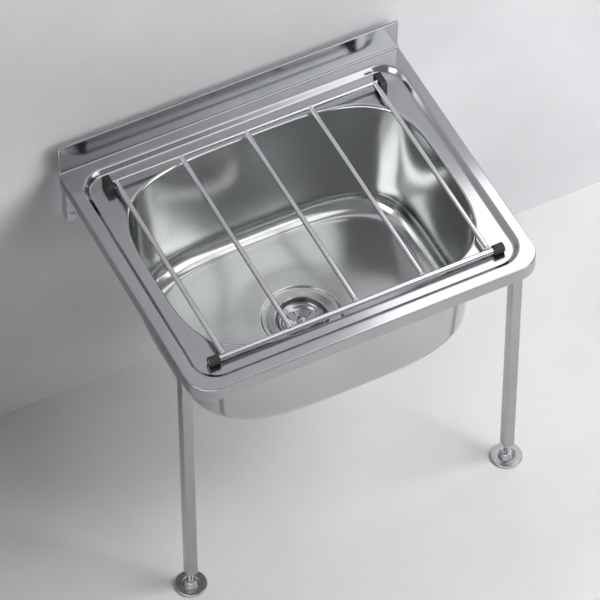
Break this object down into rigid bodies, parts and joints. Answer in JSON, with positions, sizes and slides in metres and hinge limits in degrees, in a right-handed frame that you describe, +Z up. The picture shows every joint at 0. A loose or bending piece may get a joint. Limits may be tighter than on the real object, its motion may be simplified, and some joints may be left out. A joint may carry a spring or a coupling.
{
  "type": "utility laundry sink",
  "caption": "Wall-hung steel utility laundry sink with a deep drawn bowl, upstand, hinged bucket grille, lift-out basket strainer and front legs with screw feet.",
  "frame": {"origin": "on the wall plane, in the middle of the sink's width, level with the top of its rim", "axes": "+X to the right as seen from the front, +Y towards the wall, +Z up"},
  "size_m": [0.631, 0.52, 0.64],
  "materials": {
    "satin_steel": "satin sheet steel",
    "bright_steel": "bright drawn rod and polished waste",
    "black_plastic": "fine moulded matt",
    "black_rubber": "smooth rubber",
    "grey_plastic": "plain"
  },
  "bodies": {
    "sink": {"sink_top": "satin_steel", "bowl": "satin_steel", "bowl_bottom": "satin_steel", "bowl_sump": "satin_steel", "left_wall_bracket": "satin_steel", "right_wall_bracket": "satin_steel", "left_wall_screw_1": "satin_steel", "left_wall_screw_2": "satin_steel", "right_wall_screw_1": "satin_steel", "right_wall_screw_2": "satin_steel", "left_leg_plate": "satin_steel", "left_leg": "satin_steel", "left_leg_insert": "satin_steel", "right_leg_plate": "satin_steel", "right_leg": "satin_steel", "right_leg_insert": "satin_steel", "waste_body": "bright_steel", "back_nut": "bright_steel", "left_hinge_block": "black_plastic", "right_hinge_block": "black_plastic", "flange_seal": "black_rubber", "under_seal": "black_rubber", "slip_ring": "grey_plastic"},
    "grille": {"back_rod": "bright_steel", "front_rod": "bright_steel", "grille_bar_1": "bright_steel", "grille_bar_2": "bright_steel", "grille_bar_3": "bright_steel", "grille_bar_4": "bright_steel", "grille_bar_5": "bright_steel", "left_rod_cap": "black_rubber", "right_rod_cap": "black_rubber"},
    "strainer_basket": {"basket": "bright_steel", "basket_knob": "bright_steel", "basket_seal": "black_rubber"},
    "left_foot": {"left_foot_stud": "satin_steel", "left_foot_pad": "satin_steel"},
    "right_foot": {"right_foot_stud": "satin_steel", "right_foot_pad": "satin_steel"}
  },
  "joints": [
    {"name": "grille_hinge", "type": "hinge", "parent": "sink", "child": "grille", "pos_m": [0, -0.078, 0.004], "axis": [-1, 0, 0], "range_deg": [0, 98]},
    {"name": "basket_lift", "type": "slide", "parent": "sink", "child": "strainer_basket", "axis": [0, 0, 1], "range_m": [0, 0.15]},
    {"name": "left_foot_height", "type": "slide", "parent": "sink", "child": "left_foot", "axis": [0, 0, 1], "range_m": [-0.015, 0.02]},
    {"name": "right_foot_height", "type": "slide", "parent": "sink", "child": "right_foot", "axis": [0, 0, 1], "range_m": [-0.015, 0.02]}
  ]
}
